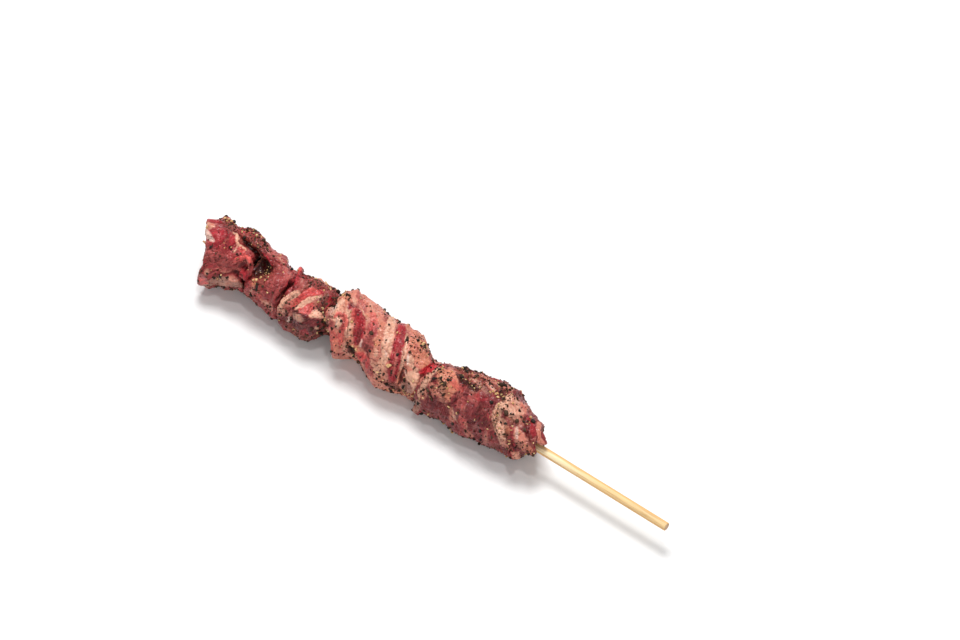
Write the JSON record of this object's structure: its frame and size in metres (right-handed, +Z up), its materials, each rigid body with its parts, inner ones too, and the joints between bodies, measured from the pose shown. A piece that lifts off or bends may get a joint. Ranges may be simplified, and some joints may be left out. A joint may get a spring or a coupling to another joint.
{
  "type": "beef kebab skewer",
  "caption": "Raw folded cuts of beef threaded in a row on a round bamboo skewer, bare at its handle end, ready to grill or to lie on a platter.",
  "frame": {"origin": "centre of the whole skewer's bounding box on the surface that it lies on", "axes": "+X along the bamboo stick from its point to its bare handle end, +Z up, +Y towards the side that the heaviest flesh hangs to"},
  "size_m": [0.26, 0.035, 0.0296],
  "materials": {
    "beef": "raw red lean with pale fat and marbling, wet and softly glossy",
    "bamboo": "plain pale bamboo with fine lengthwise streaks, dry and matt",
    "pepper": "cracked peppercorns, dark husk and cream core, dry and rough"
  },
  "bodies": {
    "root": {"bamboo_stick": "bamboo", "beef_tip_fold": "beef", "beef_arched_flap": "beef", "beef_striped_cube": "beef", "beef_fat_striped_wrap": "beef", "beef_handle_roll": "beef"}
  },
  "joints": []
}
